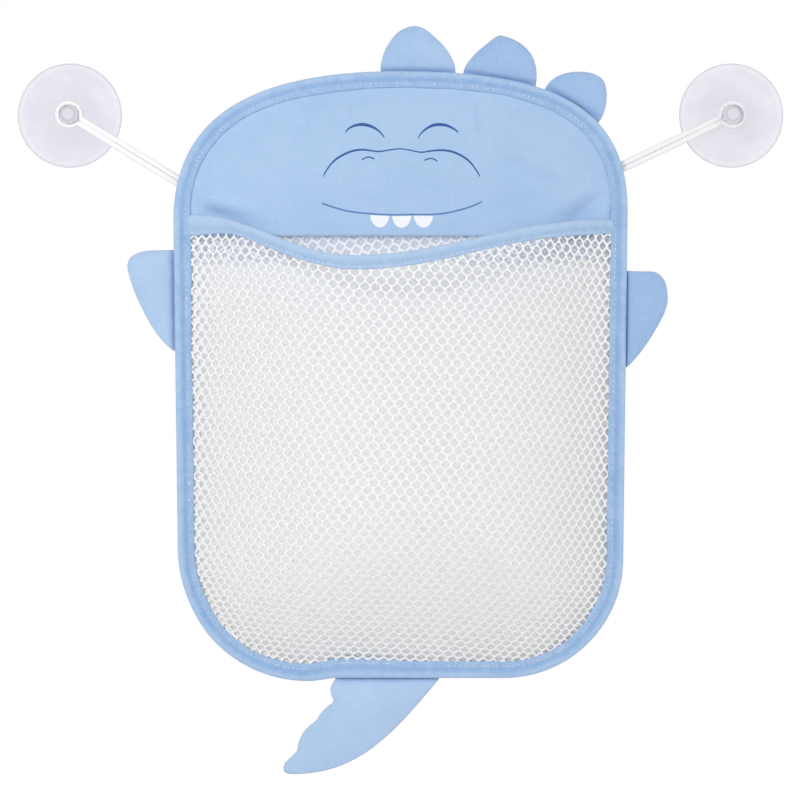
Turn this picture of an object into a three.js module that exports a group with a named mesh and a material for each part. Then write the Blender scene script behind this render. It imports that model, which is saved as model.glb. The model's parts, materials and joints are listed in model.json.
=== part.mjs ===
// Hanging net bag for bath toys, in the outline of a small dinosaur, on two suction cups.
// Millimetres. The pieces are drawn on the wall: x to the right, y up, z out from the wall,
// with the origin on the wall half way between the two cups. The last lines stand the wall upright.

import * as THREE from 'three';

// Fit between pieces that touch
const clearance = 0.3;

// Suction cups
const cupSpan = 379;
const cupDiameter = 60;
const cupLip = 3.5;
const cupLipThickness = 1.2;
const cupBodyHeight = 9.2;
const cupHollow = 5;
const neckDiameter = 8.7;
const knobDiameter = 11;
const knobHeight = 4;
const knobEdge = 1.4;

// Cords, folded in two round the necks of the cups
const cordDiameter = 3;
const cordSlack = 0.5;
const cordLay = 1.7;
const cordTuck = 11;
const leftCordDrop = 38;
const rightCordDrop = 30;

// Bag outline, over the outside of the edge binding
const bagRise = 24.5;
const bagHeight = 346;
const shoulderWidth = 259;
const baseTaper = 5;
const baseWidth = shoulderWidth - baseTaper;
const leftSide = { dome: 85.5, rise: 0.742, crown: 0.61, corner: 74 };
const rightSide = { dome: 79.7, rise: 0.75, crown: 0.674, corner: 68 };

// Plies and the tapes folded over their edges
const ply = 0.5;
const tapeWall = 0.7;
const bindingWidth = 9.8;
const mouthTapeWidth = 8;
const mouthEndGap = 1.4;

// Head panel, and the net that is lapped behind its hem
const hemDrop = 69.7;
const hemLap = 10;

// Pocket: depth in front of the plies, and the sagging line of its mouth
const bellyDepth = 54;
const mouthDepth = 36;
const pocketRound = 95;
const bellyShare = 0.35;
const leftMouthDrop = 57.5;
const rightMouthDrop = 60.5;
const mouthDip = 81.5;
const mouthLowest = -27;

// Net
const netStrand = 2.6;
const netPitch = 26;
const netRow = 21;
const netPeak = 0.17;

// Stuffed plates, fins and tail, sewn to the edge of the bag
const flapPly = 0.4;
const flapFold = 0.65;
const flapFlat = 7;
const flapRise = 10;
const waddingGap = 0.1;
const spineCrown = 3.6;
const armCrown = 3.6;
const tailCrown = 5;
const spine1 = {
  share: 0.0384, base: 42.9, height: 25.4, lean: -1.8,
  roundLeft: 12, roundRight: 7.5, footLeft: 11.4, footRight: 10,
};
const spine2 = {
  share: 0.2193, base: 42, height: 23.7, lean: -4.4,
  roundLeft: 1, roundRight: 17.8, footLeft: 8.4, footRight: 12.3,
};
const spine3 = {
  share: 0.3915, base: 36.3, height: 20.1, lean: 5,
  roundLeft: 11, roundRight: 6.9, footLeft: 9.5, footRight: 8.1,
};
const leftArm = {
  drop: 106.3, base: 57.9, reach: 26.2, crest: 10,
  straight: 0.375, corner: 0.95, slope: 0.93, foot: 0.525,
};
const rightArm = {
  drop: 116.9, base: 55.2, reach: 23.2, crest: 16.6,
  straight: 0.55, corner: 0.9, slope: 0.98, foot: 0.37,
};
const tailBase = 59;
const tailShift = 7.5;
const tailLength = 55.4;
const tailSweep = 61.5;
const tailTip = 7;
const tailBow = { under: 0.228, side: -0.098, drop: 0.505 };
const tailSteps = [
  { crest: 0.577, crestDrop: 0.108, notch: 0.494, notchDrop: 0.226 },
  { crest: 0.634, crestDrop: 0.343, notch: 0.659, notchDrop: 0.433 },
  { crest: 0.829, crestDrop: 0.56, notch: 0.836, notchDrop: 0.758 },
];

// Steps round the bag, round a cup, along a cord and round a stuffed piece, and to find a place by halving
const edgeSteps = 96;
const cupSegments = 24;
const cordSides = 8;
const cordSteps = 52;
const flapBaseSteps = 6;
const flapEdgeSteps = 15;
const halvings = 40;

// Levels out from the wall
const cordRadius = cordDiameter / 2;
const cordLevel = cupBodyHeight + clearance + cordRadius;
const neckTop = cordLevel + cordRadius + clearance;
const bindingBack = cordLevel + cordRadius + clearance;
const slotBack = bindingBack + tapeWall;
const backNetLevel = slotBack + clearance + ply / 2;
const headLevel = backNetLevel + ply + clearance;
const frontNetLevel = headLevel + ply + clearance;
const slotFront = frontNetLevel + ply / 2 + clearance;
const bindingFront = slotFront + tapeWall;
const flapLevel = (bindingBack + bindingFront) / 2;

const bag = new THREE.Group();

function material(color, roughness) {
  return new THREE.MeshStandardMaterial({ color, roughness, metalness: 0 });
}

function addMesh(group, name, geometry, finish) {
  const mesh = new THREE.Mesh(geometry, finish);
  mesh.name = name;
  group.add(mesh);
}

const cloth = { color: 0xaac8ec, roughness: 0.85 };
const tape = { color: 0x98bce8, roughness: 0.8 };
const net = { color: 0xf6f6f8, roughness: 0.7 };
const stuffing = { color: 0xfafafa, roughness: 0.95 };
const braid = { color: 0xf7f7f5, roughness: 0.8 };
const clearPlastic = { color: 0xe9e9f4, roughness: 0.15 };
const finish = (kind) => material(kind.color, kind.roughness);

function indexedGeometry(points, triangles) {
  const geometry = new THREE.BufferGeometry();
  geometry.setFromPoints(points);
  geometry.setIndex(triangles);
  geometry.computeVertexNormals();
  return geometry;
}

// A sheet given a thickness: each face gets a front and a back, and each free edge a wall.
// A point of the sheet has a place, a normal and half the thickness there.
function thicken(sheetPoints, faces) {
  const count = sheetPoints.length;
  const front = sheetPoints.map((p) => p.at.clone().addScaledVector(p.normal, p.half));
  const back = sheetPoints.map((p) => p.at.clone().addScaledVector(p.normal, -p.half));
  const edges = new Set();
  for (const face of faces) {
    face.forEach((a, k) => edges.add(`${a}>${face[(k + 1) % face.length]}`));
  }
  const triangles = [];
  for (const face of faces) {
    for (let k = 1; k + 1 < face.length; k += 1) {
      triangles.push(face[0], face[k], face[k + 1]);
      triangles.push(face[0] + count, face[k + 1] + count, face[k] + count);
    }
    face.forEach((a, k) => {
      const b = face[(k + 1) % face.length];
      if (!edges.has(`${b}>${a}`)) {
        triangles.push(a + count, b + count, b, a + count, b, a);
      }
    });
  }
  return indexedGeometry([...front, ...back], triangles);
}

// A section swept through stations, each with an origin and two directions for the section's plane
function sweep(stations, section, closed) {
  const sides = section.length;
  const points = stations.flatMap((station) =>
    section.map(([a, b]) =>
      station.origin.clone().addScaledVector(station.inward, a).addScaledVector(station.out, b)));
  const triangles = [];
  const runs = closed ? stations.length : stations.length - 1;
  for (let i = 0; i < runs; i += 1) {
    const here = i * sides;
    const next = ((i + 1) % stations.length) * sides;
    for (let k = 0; k < sides; k += 1) {
      const l = (k + 1) % sides;
      triangles.push(here + k, next + k, next + l, here + k, next + l, here + l);
    }
  }
  if (!closed) {
    const flat = section.map(([a, b]) => new THREE.Vector2(a, b));
    const last = (stations.length - 1) * sides;
    for (const [a, b, c] of THREE.ShapeUtils.triangulateShape(flat, [])) {
      triangles.push(a, c, b);
      triangles.push(last + a, last + b, last + c);
    }
  }
  return indexedGeometry(points, triangles);
}

// A tape folded in two over an edge: the fold lies at 0, the two walls reach inwards
function foldedTape(width, slotHeight) {
  const inner = slotHeight / 2;
  const outer = inner + tapeWall;
  return [
    [0, -outer], [0, outer], [width, outer], [width, inner],
    [tapeWall, inner], [tapeWall, -inner], [width, -inner], [width, -outer],
  ];
}

// The bag's outline, drawn from the middle of the bottom edge, counterclockwise
const bottom = bagRise - bagHeight;
const halfBase = baseWidth / 2;
const halfShoulder = shoulderWidth / 2;
const outline = new THREE.Shape();
outline.moveTo(0, bottom);
outline.lineTo(halfBase - rightSide.corner, bottom);
outline.absarc(
  halfBase - rightSide.corner, bottom + rightSide.corner, rightSide.corner, -Math.PI / 2, 0, false);
outline.lineTo(halfShoulder, bagRise - rightSide.dome);
outline.bezierCurveTo(
  halfShoulder, bagRise - (1 - rightSide.rise) * rightSide.dome,
  rightSide.crown * halfShoulder, bagRise, 0, bagRise);
const rightLength = outline.getLength();
outline.bezierCurveTo(
  -leftSide.crown * halfShoulder, bagRise,
  -halfShoulder, bagRise - (1 - leftSide.rise) * leftSide.dome, -halfShoulder, bagRise - leftSide.dome);
outline.lineTo(-halfBase, bottom + leftSide.corner);
outline.absarc(
  leftSide.corner - halfBase, bottom + leftSide.corner, leftSide.corner, Math.PI, 1.5 * Math.PI, false);
outline.lineTo(0, bottom);
const perimeter = outline.getLength();
const topCentre = rightLength / perimeter;

// A place on the outline, moved inwards. Places run from 0 to 1 round the outline.
function edgeDirections(place) {
  const turn = THREE.MathUtils.euclideanModulo(place, 1);
  const along = outline.getTangent(turn);
  return { point: outline.getPoint(turn), inward: new THREE.Vector2(-along.y, along.x) };
}

function edgePoint(place, inset) {
  const { point, inward } = edgeDirections(place);
  return point.addScaledVector(inward, inset);
}

// The place on one side of the outline at a height, found by halving. The right side is 1, the left -1.
function sidePlace(side, height, inset) {
  let low = side > 0 ? 0 : 1;
  let high = topCentre;
  for (let k = 0; k < halvings; k += 1) {
    const middle = (low + high) / 2;
    if (edgePoint(middle, inset).y < height) {
      low = middle;
    } else {
      high = middle;
    }
  }
  return low;
}

const edgePlaces = Array.from({ length: edgeSteps }, (_, k) => k / edgeSteps);
const insetOutline = (inset) => edgePlaces.map((place) => edgePoint(place, inset));

function edgeDistance(x, y) {
  let nearest = Infinity;
  const spot = new THREE.Vector3(x, y, 0);
  const foot = new THREE.Vector3();
  for (const line of outlineLines) {
    line.closestPointToPoint(spot, true, foot);
    nearest = Math.min(nearest, foot.distanceTo(spot));
  }
  return nearest;
}

const outlineLines = insetOutline(0).map((point, k, all) => {
  const next = all[(k + 1) % all.length];
  return new THREE.Line3(new THREE.Vector3(point.x, point.y, 0), new THREE.Vector3(next.x, next.y, 0));
});

// Edge binding: one tape folded over the edges of the plies, right round the bag
const seamInset = tapeWall + clearance;
const innerInset = bindingWidth + clearance;
const bindingStations = edgePlaces.map((place) => {
  const { point, inward } = edgeDirections(place);
  return {
    origin: new THREE.Vector3(point.x, point.y, flapLevel),
    inward: new THREE.Vector3(inward.x, inward.y, 0),
    out: new THREE.Vector3(0, 0, 1),
  };
});
const bindingSection = foldedTape(bindingWidth, slotFront - slotBack);
addMesh(bag, 'edge_binding', sweep(bindingStations, bindingSection, true), finish(tape));

// Head panel: one ply of woven cloth, its edge in the binding, its hem straight across the bag
const hemLevel = -hemDrop;
const hemRight = sidePlace(1, hemLevel, seamInset);
const hemLeft = sidePlace(-1, hemLevel, seamInset);
const headShape = new THREE.Shape();
const headPlaces = edgePlaces.filter((place) => place > hemRight && place < hemLeft);
headShape.setFromPoints(
  [hemRight, ...headPlaces, hemLeft].map((place) => edgePoint(place, seamInset)));
const headPanel = new THREE.ExtrudeGeometry(headShape, { depth: ply, bevelEnabled: false });
headPanel.translate(0, 0, headLevel - ply / 2);
addMesh(bag, 'head_panel', headPanel, finish(cloth));

// The mouth of the pocket, seen from the front: highest at the sides, lowest left of the middle
const mouthRight = edgePoint(sidePlace(1, -rightMouthDrop, innerInset), innerInset).x;
const mouthLeft = edgePoint(sidePlace(-1, -leftMouthDrop, innerInset), innerInset).x;
function mouthHeight(x) {
  const onLeft = x < mouthLowest;
  const reach = (onLeft ? mouthLeft : mouthRight) - mouthLowest;
  const share = Math.min(1, (x - mouthLowest) / reach);
  const sideDrop = onLeft ? leftMouthDrop : rightMouthDrop;
  return -THREE.MathUtils.lerp(mouthDip, sideDrop, Math.sin(share * Math.PI / 2) ** 2);
}

// How far the pocket stands in front of the plies: it rises from the binding along a quarter wave,
// to a belly in the lower part and less at the mouth
function pocketBulge(x, y) {
  const rise = THREE.MathUtils.clamp((edgeDistance(x, y) - innerInset) / pocketRound, 0, 1);
  const height = (y - bottom) / (mouthHeight(x) - bottom);
  const ease = THREE.MathUtils.smoothstep(height, bellyShare, 1);
  const depth = THREE.MathUtils.lerp(bellyDepth, mouthDepth, ease);
  return depth * Math.sin(rise * Math.PI / 2);
}

function pocketPoint(x, y) {
  return new THREE.Vector3(x, y, frontNetLevel + pocketBulge(x, y));
}

function pocketNormal(x, y) {
  const reach = 1;
  const across = pocketPoint(x + reach, y).sub(pocketPoint(x - reach, y));
  const up = pocketPoint(x, y + reach).sub(pocketPoint(x, y - reach));
  return across.cross(up).normalize();
}

// A net panel of hexagonal gaps in staggered rows. Its sides and bottom follow the bag's outline just
// inside the binding, with a plain selvedge in the binding, and its top follows a line given for x.
// Between its four borders it is spread as a patch blended from them.
const cornerMiddle = (side) => (halfBase - side.corner + side.corner * Math.PI / 4) / perimeter;
const rightCorner = cornerMiddle(rightSide);
const leftCorner = -cornerMiddle(leftSide);

function netPanel(topHeight, selvedgeTop, placeOf, normalOf) {
  const rightTop = sidePlace(1, topHeight(mouthRight), innerInset);
  const leftTop = sidePlace(-1, topHeight(mouthLeft), innerInset) - 1;
  const borderPlace = {
    left: (v) => THREE.MathUtils.lerp(leftCorner, leftTop, v),
    right: (v) => THREE.MathUtils.lerp(rightCorner, rightTop, v),
    bottom: (u) => THREE.MathUtils.lerp(leftCorner, rightCorner, u),
  };
  const border = {
    left: (v) => edgePoint(borderPlace.left(v), innerInset),
    right: (v) => edgePoint(borderPlace.right(v), innerInset),
    bottom: (u) => edgePoint(borderPlace.bottom(u), innerInset),
    top: (u) => {
      const x = THREE.MathUtils.lerp(border.left(1).x, border.right(1).x, u);
      return new THREE.Vector2(x, topHeight(x));
    },
  };
  const patch = (u, v) => {
    const between = border.bottom(u).lerp(border.top(u), v);
    const sideways = border.left(v).lerp(border.right(v), u);
    const low = border.left(0).lerp(border.right(0), u);
    const high = border.left(1).lerp(border.right(1), u);
    return between.add(sideways).sub(low.lerp(high, v));
  };
  const columns = Math.round((mouthRight - mouthLeft) / netPitch);
  const rows = Math.round((topHeight(mouthLowest) - bottom - bindingWidth) / netRow);
  const points = [];
  const faces = [];
  const addPoint = (flat) => {
    points.push({ at: placeOf(flat.x, flat.y), normal: normalOf(flat.x, flat.y), half: ply / 2 });
    return points.length - 1;
  };
  const onBorder = (i, j) => i === 0 || j === 0 || i === 2 * columns || j === rows;
  const flatNode = (i, j) => {
    const peak = (i - j) % 2 === 0 ? netPeak : -netPeak;
    const lift = onBorder(i, j) ? 0 : peak;
    return patch(i / (2 * columns), (j + lift) / rows);
  };
  const flats = [];
  const nodes = [];
  for (let j = 0; j <= rows; j += 1) {
    flats.push(Array.from({ length: 2 * columns + 1 }, (_, i) => flatNode(i, j)));
    nodes.push(flats[j].map(addPoint));
  }
  const addCell = (ring) => {
    const centre = new THREE.Vector2();
    ring.forEach(([i, j]) => centre.addScaledVector(flats[j][i], 1 / ring.length));
    const gap = ring.map(([i, j]) => addPoint(flats[j][i].clone().lerp(centre, netStrand / netRow)));
    ring.forEach(([i, j], k) => {
      const l = (k + 1) % ring.length;
      const [nextI, nextJ] = ring[l];
      faces.push([nodes[j][i], nodes[nextJ][nextI], gap[l], gap[k]]);
    });
  };
  const end = 2 * columns;
  for (let j = 0; j < rows; j += 1) {
    const offset = j % 2;
    for (let i = offset; i + 2 <= end; i += 2) {
      addCell([[i, j], [i + 1, j], [i + 2, j], [i + 2, j + 1], [i + 1, j + 1], [i, j + 1]]);
    }
    if (offset === 1) {
      addCell([[0, j], [1, j], [1, j + 1], [0, j + 1]]);
      addCell([[end - 1, j], [end, j], [end, j + 1], [end - 1, j + 1]]);
    }
  }
  const lip = flats[rows].map((flat) => addPoint(new THREE.Vector2(flat.x, selvedgeTop(flat.x))));
  for (let i = 0; i < end; i += 1) {
    faces.push([nodes[rows][i], nodes[rows][i + 1], lip[i + 1], lip[i]]);
  }
  const sides = Array.from({ length: rows + 1 }, (_, j) => j);
  const around = [
    { node: lip[0], place: sidePlace(-1, selvedgeTop(border.left(1).x), innerInset) },
    ...sides.toReversed().map((j) => ({ node: nodes[j][0], place: borderPlace.left(j / rows) })),
    ...nodes[0].map((node, i) => ({ node, place: borderPlace.bottom(i / end) })).slice(1, -1),
    ...sides.map((j) => ({ node: nodes[j][end], place: borderPlace.right(j / rows) })),
    { node: lip[end], place: sidePlace(1, selvedgeTop(border.right(1).x), innerInset) },
  ];
  const selvedge = around.map(({ place }) => addPoint(edgePoint(place, seamInset)));
  for (let k = 0; k + 1 < around.length; k += 1) {
    faces.push([selvedge[k], selvedge[k + 1], around[k + 1].node, around[k].node]);
  }
  return { solid: thicken(points, faces), stations: lip.length };
}

// Back net: flat, its top edge lapped behind the hem of the head panel
const backTop = () => hemLevel;
const backSelvedge = () => hemLevel + hemLap;
const backPlace = (x, y) => new THREE.Vector3(x, y, backNetLevel);
const backNormal = () => new THREE.Vector3(0, 0, 1);
addMesh(bag, 'back_net', netPanel(backTop, backSelvedge, backPlace, backNormal).solid, finish(net));

// Front net: the pocket, its top edge inside the mouth tape
const frontTop = (x) => mouthHeight(x) - mouthTapeWidth - clearance;
const frontSelvedge = (x) => mouthHeight(x) - seamInset;
const pocket = netPanel(frontTop, frontSelvedge, pocketPoint, pocketNormal);
addMesh(bag, 'front_net', pocket.solid, finish(net));

// Mouth tape: folded over the top edge of the pocket, between the two sides of the edge binding
const endInset = bindingWidth + mouthEndGap - innerInset;
const mouthStations = Array.from({ length: pocket.stations }, (_, k) => {
  const x = THREE.MathUtils.clamp(
    THREE.MathUtils.lerp(mouthLeft, mouthRight, k / (pocket.stations - 1)),
    mouthLeft + endInset, mouthRight - endInset);
  const origin = pocketPoint(x, mouthHeight(x));
  const inward = pocketPoint(x, mouthHeight(x) - mouthTapeWidth).sub(origin).normalize();
  const out = pocketNormal(x, mouthHeight(x) - mouthTapeWidth / 2);
  return { origin, inward, out };
});
const mouthSection = foldedTape(mouthTapeWidth, ply + 2 * clearance);
addMesh(bag, 'mouth_binding', sweep(mouthStations.toReversed(), mouthSection, false), finish(tape));

// Suction cup: a clear disc with a hollow underside, a neck for the cord and a knob that keeps it on
function suctionCup() {
  const rim = cupDiameter / 2;
  const neck = neckDiameter / 2;
  const knob = knobDiameter / 2;
  const knobTop = neckTop + knobHeight;
  const profile = new THREE.Path();
  profile.moveTo(0, cupHollow);
  profile.bezierCurveTo(rim / 3, cupHollow, (rim - cupLip) * 2 / 3, cupHollow / 2, rim - cupLip, 0);
  profile.lineTo(rim, 0);
  profile.lineTo(rim, cupLipThickness);
  profile.bezierCurveTo(rim * 2 / 3, cupBodyHeight / 2, neck * 2, cupBodyHeight, neck, cupBodyHeight);
  profile.lineTo(neck, neckTop);
  profile.lineTo(knob - knobEdge, neckTop);
  profile.quadraticCurveTo(knob, neckTop, knob, neckTop + knobEdge);
  profile.quadraticCurveTo(knob, knobTop, 0, knobTop);
  const geometry = new THREE.LatheGeometry(profile.getPoints(5), cupSegments);
  geometry.rotateX(Math.PI / 2);
  return geometry;
}

// Cord: one length folded in two, its fold round the neck of the cup, both ends sewn behind the binding.
// The route is given for one half, from the far side of the neck: towards the bag, and aside.
const foldRadius = neckDiameter / 2 + cordSlack + cordRadius;
const foldTurns = [180, 145, 110, 76, 40].map(THREE.MathUtils.degToRad);
const foldRoute = [
  ...foldTurns.map((turn) => [foldRadius * Math.cos(turn), foldRadius * Math.sin(turn)]),
  [7.15, 2.31], [9.9, cordLay], [14, cordLay], [24, cordLay],
];

function foldedCord(length) {
  const half = [...foldRoute, [length / 2, cordLay], [length, cordLay]];
  const mirrored = half.slice(1).map(([along, aside]) => [along, -aside]);
  const route = [...mirrored.toReversed(), ...half];
  const curve = new THREE.CatmullRomCurve3(
    route.map(([along, aside]) => new THREE.Vector3(along, aside, 0)));
  const corners = Array.from({ length: cordSides }, (_, k) => {
    const turn = (k + 0.5) * 2 * Math.PI / cordSides;
    return new THREE.Vector2(Math.cos(turn), Math.sin(turn)).multiplyScalar(cordRadius);
  });
  const section = new THREE.Shape(corners);
  return new THREE.ExtrudeGeometry(section, { steps: cordSteps, extrudePath: curve, bevelEnabled: false });
}

function hanger(side, name, drop) {
  const centre = new THREE.Vector2(side * cupSpan / 2, 0);
  const exit = edgePoint(sidePlace(side, -drop, 0), 0);
  const run = exit.clone().sub(centre);
  const cup = new THREE.Group();
  cup.position.set(centre.x, centre.y, 0);
  addMesh(cup, `${name}_suction_cup`, suctionCup(), finish(clearPlastic));
  const cord = new THREE.Group();
  cord.position.set(centre.x, centre.y, cordLevel);
  cord.rotation.z = run.angle();
  addMesh(cord, `${name}_cord`, foldedCord(run.length() + cordTuck), finish(braid));
  bag.add(cup, cord);
}

hanger(-1, 'left', leftCordDrop);
hanger(1, 'right', rightCordDrop);

// Stuffed piece: two dished plies sewn together round their edge, with wadding between them. It is drawn
// on its own base: x along the edge of the bag, y away from it, its fold line through the origin.
function stuffedPiece(name, place, base, freeEdge, crown) {
  const group = new THREE.Group();
  const foot = edgePoint(place, -flapFold);
  const { inward } = edgeDirections(place);
  group.name = name;
  group.position.set(foot.x, foot.y, flapLevel);
  group.rotation.z = inward.clone().negate().angle() - Math.PI / 2;
  const baseLine = Array.from({ length: flapBaseSteps + 1 }, (_, k) => {
    const shift = (0.5 - k / flapBaseSteps) * base / perimeter;
    const offset = edgePoint(place + shift, -flapFold).sub(foot);
    return offset.rotateAround(new THREE.Vector2(), -group.rotation.z);
  });
  const free = freeEdge(baseLine[flapBaseSteps], baseLine[0]).slice(1, -1);
  const rim = [...baseLine, ...free];
  const middle = new THREE.Vector2();
  rim.forEach((point) => middle.addScaledVector(point, 1 / rim.length));
  const swell = (share, y) => {
    const fromBase = THREE.MathUtils.smoothstep(y, flapFlat, flapFlat + flapRise);
    return crown * Math.sqrt(1 - (1 - share) ** 2) * fromBase;
  };
  const pad = (shares, level, half) => {
    const points = [];
    const addPoint = (flat, share) => {
      const height = swell(share, flat.y);
      points.push({
        at: new THREE.Vector3(flat.x, flat.y, level(height)),
        normal: new THREE.Vector3(0, 0, 1),
        half: half(height),
      });
      return points.length - 1;
    };
    const rings = shares.map((share) =>
      rim.map((point) => addPoint(point.clone().lerp(middle, share), share)));
    const top = addPoint(middle, 1);
    const faces = [];
    rings.forEach((ring, r) => {
      ring.forEach((corner, k) => {
        const l = (k + 1) % ring.length;
        const above = rings[r + 1];
        faces.push(above ? [corner, ring[l], above[l], above[k]] : [corner, ring[l], top]);
      });
    });
    return thicken(points, faces);
  };
  const seam = (clearance + flapPly) / 2;
  const plyShares = [0, 0.15, 0.5];
  const front = pad(plyShares, (height) => seam + height, () => flapPly / 2);
  const back = pad(plyShares, (height) => -seam - height, () => flapPly / 2);
  const wadding = pad(plyShares.slice(1), () => 0, (height) => seam + height - flapPly / 2 - waddingGap);
  addMesh(group, `${name}_front`, front, finish(cloth));
  addMesh(group, `${name}_back`, back, finish(cloth));
  addMesh(group, `${name}_wadding`, wadding, finish(stuffing));
  bag.add(group);
}

// Spine plates: bells that lean to one side, each sewn to the dome right of its middle, at its share of
// the shoulder width along the outline
function spine(name, plate) {
  const edge = (start, end) => {
    const path = new THREE.Path();
    path.moveTo(start.x, start.y);
    path.bezierCurveTo(
      start.x, plate.footRight, plate.lean + plate.roundRight, plate.height, plate.lean, plate.height);
    path.bezierCurveTo(
      plate.lean - plate.roundLeft, plate.height, end.x, plate.footLeft, end.x, end.y);
    return path.getSpacedPoints(flapEdgeSteps);
  };
  const place = topCentre - plate.share * shoulderWidth / perimeter;
  stuffedPiece(name, place, plate.base, edge, spineCrown);
}

spine('spine_1', spine1);
spine('spine_2', spine2);
spine('spine_3', spine3);

// Arms: fins with a level top edge, a round outer corner and a slanting lower edge
function arm(name, side, size) {
  const { base, reach, crest } = size;
  const slant = base - crest;
  const edge = (start, end) => {
    const upper = side < 0 ? start : end;
    const lower = side < 0 ? end : start;
    const below = (drop) => upper.x + side * drop;
    const path = new THREE.Path();
    path.moveTo(upper.x, upper.y);
    path.lineTo(upper.x, size.straight * reach);
    path.bezierCurveTo(
      upper.x, size.corner * reach, below(crest / 2), reach, below(crest), reach);
    path.bezierCurveTo(
      below(crest + slant / 4), size.slope * reach,
      below(base - slant / 5), size.foot * reach, lower.x, lower.y);
    const points = path.getSpacedPoints(flapEdgeSteps);
    return side < 0 ? points : points.toReversed();
  };
  stuffedPiece(name, sidePlace(side, -size.drop, 0), base, edge, armCrown);
}

arm('left_arm', -1, leftArm);
arm('right_arm', 1, rightArm);

// Tail: a curved fin that sweeps to the left, stepped on that side and smooth on the other.
// On its own base the left of the bag is the positive side. Its steps and its bow are shares of
// its sweep and of its length.
function tailEdge(start, end) {
  const path = new THREE.Path();
  path.moveTo(start.x, start.y);
  for (const step of tailSteps) {
    path.quadraticCurveTo(
      step.crest * tailSweep, step.crestDrop * tailLength,
      step.notch * tailSweep, step.notchDrop * tailLength);
  }
  path.lineTo(tailSweep - tailTip / 2, tailLength - tailTip);
  path.quadraticCurveTo(tailSweep, tailLength, tailSweep - tailTip, tailLength);
  path.bezierCurveTo(
    tailBow.under * tailSweep, tailLength,
    tailBow.side * tailSweep, tailBow.drop * tailLength, end.x, end.y);
  return path.getSpacedPoints(flapEdgeSteps + flapBaseSteps);
}

stuffedPiece('tail', -tailShift / perimeter, tailBase, tailEdge, tailCrown);

// Stand the wall upright: y up becomes z up, and the front of the bag looks along negative y
bag.rotation.x = Math.PI / 2;

const part = new THREE.Group();
part.add(bag);

export default part;
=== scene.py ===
import json
import math

import bmesh
import bpy
import numpy
from mathutils import Matrix, Vector, kdtree, noise


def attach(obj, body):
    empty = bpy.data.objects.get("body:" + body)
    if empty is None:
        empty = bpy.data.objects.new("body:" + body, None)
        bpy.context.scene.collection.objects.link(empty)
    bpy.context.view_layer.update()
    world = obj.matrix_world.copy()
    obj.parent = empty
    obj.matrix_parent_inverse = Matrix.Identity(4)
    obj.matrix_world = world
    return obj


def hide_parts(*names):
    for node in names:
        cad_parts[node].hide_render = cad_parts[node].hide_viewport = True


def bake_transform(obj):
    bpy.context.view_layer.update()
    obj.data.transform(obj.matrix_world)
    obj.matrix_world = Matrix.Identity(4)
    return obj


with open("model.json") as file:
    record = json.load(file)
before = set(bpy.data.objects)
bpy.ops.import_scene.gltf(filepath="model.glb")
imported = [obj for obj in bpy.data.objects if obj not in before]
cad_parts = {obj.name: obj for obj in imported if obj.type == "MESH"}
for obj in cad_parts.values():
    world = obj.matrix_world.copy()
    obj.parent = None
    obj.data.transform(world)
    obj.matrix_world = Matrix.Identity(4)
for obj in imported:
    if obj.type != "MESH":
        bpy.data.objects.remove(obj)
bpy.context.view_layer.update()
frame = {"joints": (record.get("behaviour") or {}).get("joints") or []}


# Camera: straight in front of the wall and level with the middle of the bag, far off with a long lens.
# The picture is 456 mm wide at the bag's edge.
view_width = 0.456
view_centre = Vector((-0.0003, -0.015, -0.163))
view_distance = 2.6

scene = bpy.context.scene
scene.view_settings.view_transform = "Standard"
camera_data = bpy.data.cameras.new("camera")
camera_data.lens = camera_data.sensor_width * view_distance / view_width
camera = bpy.data.objects.new("camera", camera_data)
camera.location = view_centre - Vector((0, view_distance, 0))
camera.rotation_euler = (math.pi / 2, 0, 0)
scene.collection.objects.link(camera)
scene.camera = camera


# Studio: an even white surround, a soft lamp in front at the left, a larger one far round to the right and
# a pale floor well below the bag. A lamp has its place, its size and its power.
ambient = 0.60
lamps = {
    "key_lamp": ((-0.5, -1.0, 0.12), 0.45, 5.2),
    "fill_lamp": ((1.75, -0.55, 0.2), 1.0, 8.4),
}
floor_height = -0.62
floor_radius = 0.6
floor_sides = 96


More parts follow.
